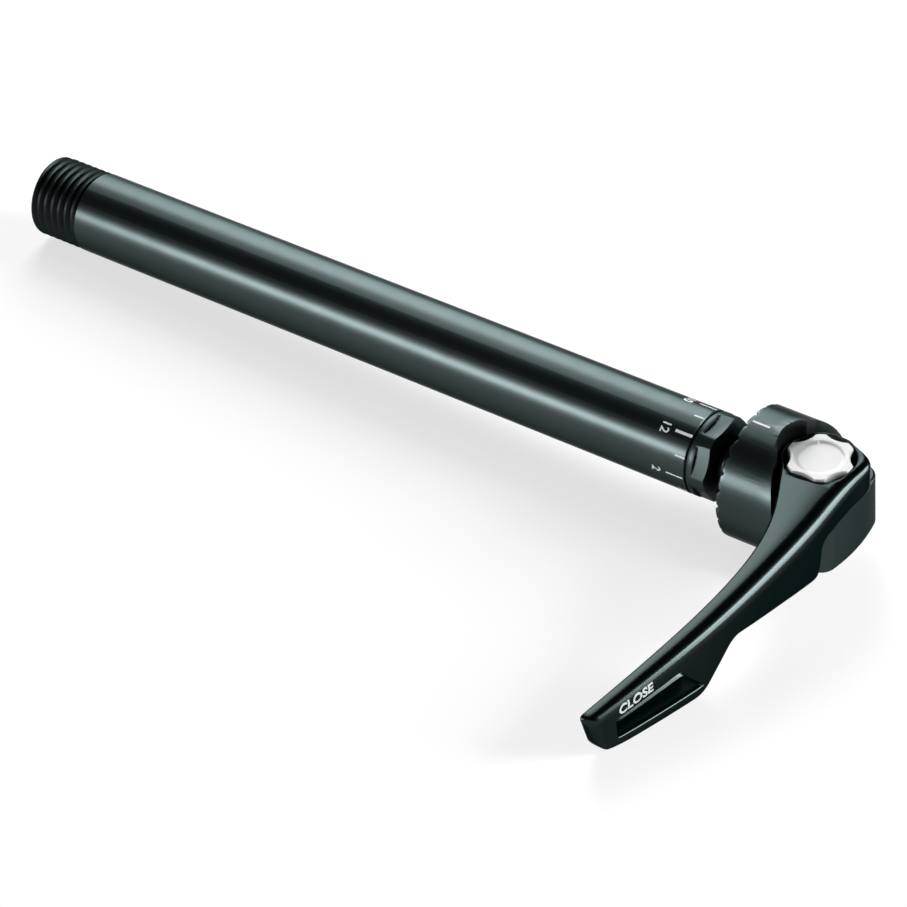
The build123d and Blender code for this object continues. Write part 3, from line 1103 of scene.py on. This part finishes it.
    def _cutters(self, material: bpy.types.Material) -> list[bpy.types.Object]:
        """Makes the solids that hollow the lever out: nut pocket, spigot hollow and drive.

        Args:
            material: A material for the cut faces.

        Returns:
            The solids.
        """
        lip = self.pocket_lip
        over = self.top + self.cutter_spare
        under = self.bottom - self.cutter_spare
        pocket = [
            (self.pocket_floor, 0.0), (self.pocket_floor, self.pocket), (self.top - lip, self.pocket),
            (self.top + lip, self.pocket + 2 * lip), (over, self.pocket + 2 * lip), (over, 0.0),
        ]
        hollow = [(under, 0.0), (under, self.hollow), (self.hollow_top, self.hollow), (self.hollow_top, 0.0)]
        hexagon = bmesh.new()
        corner = self.drive / math.sqrt(3)
        bmesh.ops.create_cone(
            hexagon, cap_ends=True, segments=6, radius1=corner, radius2=corner, depth=self.drive_depth,
            matrix=Matrix.Translation((0, 0, self.pocket_floor - 1.0)),
        )
        shapes = {
            "pocket": turned_solid(pocket, self.turn_steps),
            "hollow": turned_solid(hollow, self.turn_steps),
            "drive": hexagon,
        }
        return [finish_piece(shape, name, material, PIVOT_PLACE) for name, shape in shapes.items()]

    def _word(self) -> bmesh.types.BMesh:
        """Prints the word for the lever's shut side above the recess.

        Returns:
            The print, laid on the arm's outer face.
        """
        ink = Ink()
        word = bmesh.new()
        ink.add_text(word, "CLOSE", self.word_height, (0.0, 0.0), self.word_lean, self.word_weight)
        for height in np.arange(self.word_row, self.word_height, self.word_row):
            slice_faces(word, Vector((0, height, 0)), Vector((0, 1, 0)), FINE)
        low = min(vert.co.x for vert in word.verts)
        wide = max(vert.co.x for vert in word.verts) - low
        for vert in word.verts:
            share = (vert.co.x - low) / wide
            y = self.word_from + share * (self.word_to - self.word_from)
            z = self.word_base_tip + share * (self.word_base_root - self.word_base_tip) + vert.co.y
            vert.co = Vector((self.face(y, z) + ink.lift(vert.co.z), y, z))
        return word

    def build(self, finishes: Finishes) -> None:
        """Builds the lever, its word and its nut.

        Args:
            finishes: The materials.
        """
        arm = finish_piece(self._arm(), "cam_lever", finishes.lever, PIVOT_PLACE)
        arm = cut(arm, self._cutters(finishes.lever))
        arm.modifiers.clear()
        settle(arm, Body.LEVER, Slot.BLACK, "lever")
        word = finish_piece(self._word(), "lever_word", finishes.pale_ink, PIVOT_PLACE)
        settle(word, Body.LEVER, Slot.POLYMER)
        star = smooth_copy("star_nut", "lever_star_nut", finishes.star, self.star_break)
        settle(star, Body.LEVER, Slot.BRIGHT, "star_nut")


@dataclass
class InnerWorks:
    """The small pieces inside the head, which keep their shapes and get their finishes."""

    steel: tuple[str, ...] = ("bolt_washer", "cam_shaft", "cam_clip")
    bronze: tuple[str, ...] = ("upper_cam_bush", "lower_cam_bush")
    polymer: tuple[str, ...] = ("thrust_washer", "cam_shim")

    def build(self, finishes: Finishes) -> None:
        """Gives each piece its material.

        Args:
            finishes: The materials.
        """
        for names, material in (
            (self.steel, finishes.steel), (self.bronze, finishes.bronze), (self.polymer, finishes.polymer)
        ):
            for name in names:
                node = frame["nodes"][name]
                node.data.materials.clear()
                node.data.materials.append(material)
                log.info("%s is dressed", name)


@dataclass
class Lamp:
    """A soft box, placed by the direction it shines from."""

    name: str
    direction: Triple
    across: Triple
    width: float
    height: float
    radiance: float
    distance: float = 1.0

    def build(self, target: Vector) -> None:
        """Adds the lamp, facing its target.

        Args:
            target: The point that it faces.
        """
        data = bpy.data.lights.new(self.name, "AREA")
        data.shape = "RECTANGLE"
        data.size = self.width
        data.size_y = self.height
        data.energy = self.radiance * math.pi * self.width * self.height
        lamp = bpy.data.objects.new(self.name, data)
        bpy.context.scene.collection.objects.link(lamp)
        toward = Vector(self.direction).normalized()
        side = Vector(self.across)
        side = (side - side.dot(toward) * toward).normalized()
        turn = Matrix((side, toward.cross(side), toward)).transposed().to_4x4()
        lamp.matrix_world = Matrix.Translation(target + toward * self.distance) @ turn


@dataclass
class Studio:
    """The pale floor, the soft boxes, the room and the camera."""

    floor_half: float = 4.0
    collar_foot: float = -11.75
    thread_foot: float = -7.5
    thread_end: float = -71.65
    collar_middle: float = 87.0
    floor_gap: float = 1e-5
    paper_colour: Triple = (0.92, 0.92, 0.92)
    paper_glow: float = 0.68
    horizon: float = 0.06
    horizon_colour: Triple = (0.9, 0.9, 0.9)
    overhead: float = 0.36
    overhead_colour: Triple = (0.045, 0.05, 0.05)
    lamp_target: Triple = (0.03, -0.01, 0.0)
    lamps: tuple[Lamp, ...] = (
        Lamp("back_soft_box", (-0.52, 0.64, 0.57), (1, 0, 0), width=0.42, height=0.76, radiance=9.4),
        Lamp("top_soft_box", (-0.479, 0.17, 0.86), (1, 0, 0), width=0.42, height=0.40, radiance=2.8),
        Lamp("front_soft_box", (-0.479, -0.865, 0.13), (1, 0, 0), width=0.44, height=0.24, radiance=16.0),
        Lamp("ridge_strip", (0.765, 0.484, 0.42), (-0.55, 0, 0.83), width=0.20, height=0.44, radiance=32.0),
        Lamp("ridge_skirt", (0.827, 0.524, 0.19), (-0.3, 0, 0.95), width=0.26, height=0.46, radiance=21.0),
    )
    lens: float = 154.70
    sensor: float = 36.0
    camera_place: Triple = (0.350938, -0.47787, 0.35195)
    camera_right: Triple = (0.81200, 0.58306, 0.02620)
    camera_up: Triple = (-0.33282, 0.42572, 0.84140)

    def build(self) -> None:
        """Builds the whole studio."""
        self._floor()
        self._room()
        for lamp in self.lamps:
            lamp.build(Vector(self.lamp_target))
        self._camera()
        bpy.context.scene.view_settings.view_transform = "Standard"

    def _floor(self) -> None:
        """Lays the floor under the collar, the paddle and the thread, on which the axle rests."""
        rise = self.thread_foot - self.collar_foot
        run = self.thread_end - self.collar_middle
        sheet = bmesh.new()
        bmesh.ops.create_grid(sheet, x_segments=1, y_segments=1, size=self.floor_half)
        tilt = Matrix.Rotation(math.atan2(rise, -run), 4, "Y")
        foot = Vector((self.collar_middle * MM, 0, self.collar_foot * MM - self.floor_gap))
        sheet.transform(Matrix.Translation(foot) @ tilt)
        mesh = bpy.data.meshes.new("studio_floor")
        sheet.to_mesh(mesh)
        sheet.free()
        floor = bpy.data.objects.new("studio_floor", mesh)
        bpy.context.scene.collection.objects.link(floor)
        mesh.materials.append(self._paper())

    def _paper(self) -> bpy.types.Material:
        """Builds the floor's white paper, which the camera and reflections see as white, with a soft shadow.

        Returns:
            The material.
        """
        paper = bpy.data.materials.new("studio_paper")
        paper.use_nodes = True
        kit = NodeKit(paper.node_tree)
        matt = paper.node_tree.nodes["Principled BSDF"]
        matt.inputs["Base Color"].default_value = (*self.paper_colour, 1.0)
        matt.inputs["Roughness"].default_value = 0.9
        matt.inputs["Specular IOR Level"].default_value = 0.0
        path = kit.add("ShaderNodeLightPath").outputs
        seen = kit.math("MAXIMUM", path["Is Camera Ray"], path["Is Glossy Ray"])
        seen = kit.math("MAXIMUM", seen, path["Is Transmission Ray"])
        mix = kit.add("ShaderNodeMixShader")
        white = kit.add("ShaderNodeEmission", Strength=1.0).outputs[0]
        parts = (kit.math("MULTIPLY", seen, self.paper_glow), matt.outputs[0], white)
        for part, socket in zip(parts, mix.inputs):
            kit.join(part, socket)
        kit.join(mix.outputs[0], paper.node_tree.nodes["Material Output"].inputs["Surface"])
        return paper

    def _room(self) -> None:
        """Makes a room that is pale near the horizon and darker overhead."""
        world = bpy.data.worlds.new("studio_room")
        world.use_nodes = True
        bpy.context.scene.world = world
        kit = NodeKit(world.node_tree)
        place = kit.add("ShaderNodeTexCoord").outputs["Generated"]
        height = kit.add("ShaderNodeSeparateXYZ", Vector=place).outputs["Z"]
        ramp = kit.add("ShaderNodeValToRGB", Fac=height)
        ramp.color_ramp.interpolation = "EASE"
        low, high = ramp.color_ramp.elements
        low.position, low.color = self.horizon, (*self.horizon_colour, 1.0)
        high.position, high.color = self.overhead, (*self.overhead_colour, 1.0)
        kit.join(ramp.outputs["Color"], world.node_tree.nodes["Background"].inputs["Color"])

    def _camera(self) -> None:
        """Places the camera at the photograph's viewing angle."""
        data = bpy.data.cameras.new("studio_camera")
        data.lens = self.lens
        data.sensor_width = self.sensor
        data.clip_start = 0.01
        camera = bpy.data.objects.new("studio_camera", data)
        bpy.context.scene.collection.objects.link(camera)
        right, up = Vector(self.camera_right), Vector(self.camera_up)
        turn = Matrix((right, up, right.cross(up))).transposed().to_4x4()
        camera.matrix_world = Matrix.Translation(self.camera_place) @ turn
        bpy.context.scene.camera = camera


def main() -> None:
    """Builds the axle from its sub-assemblies, then the studio round it."""
    finishes = Finishes()
    for part in (AxleTube(), ClampHead(), Lever(), InnerWorks()):
        part.build(finishes)
    Studio().build()


if __name__ == "__main__":
    main()
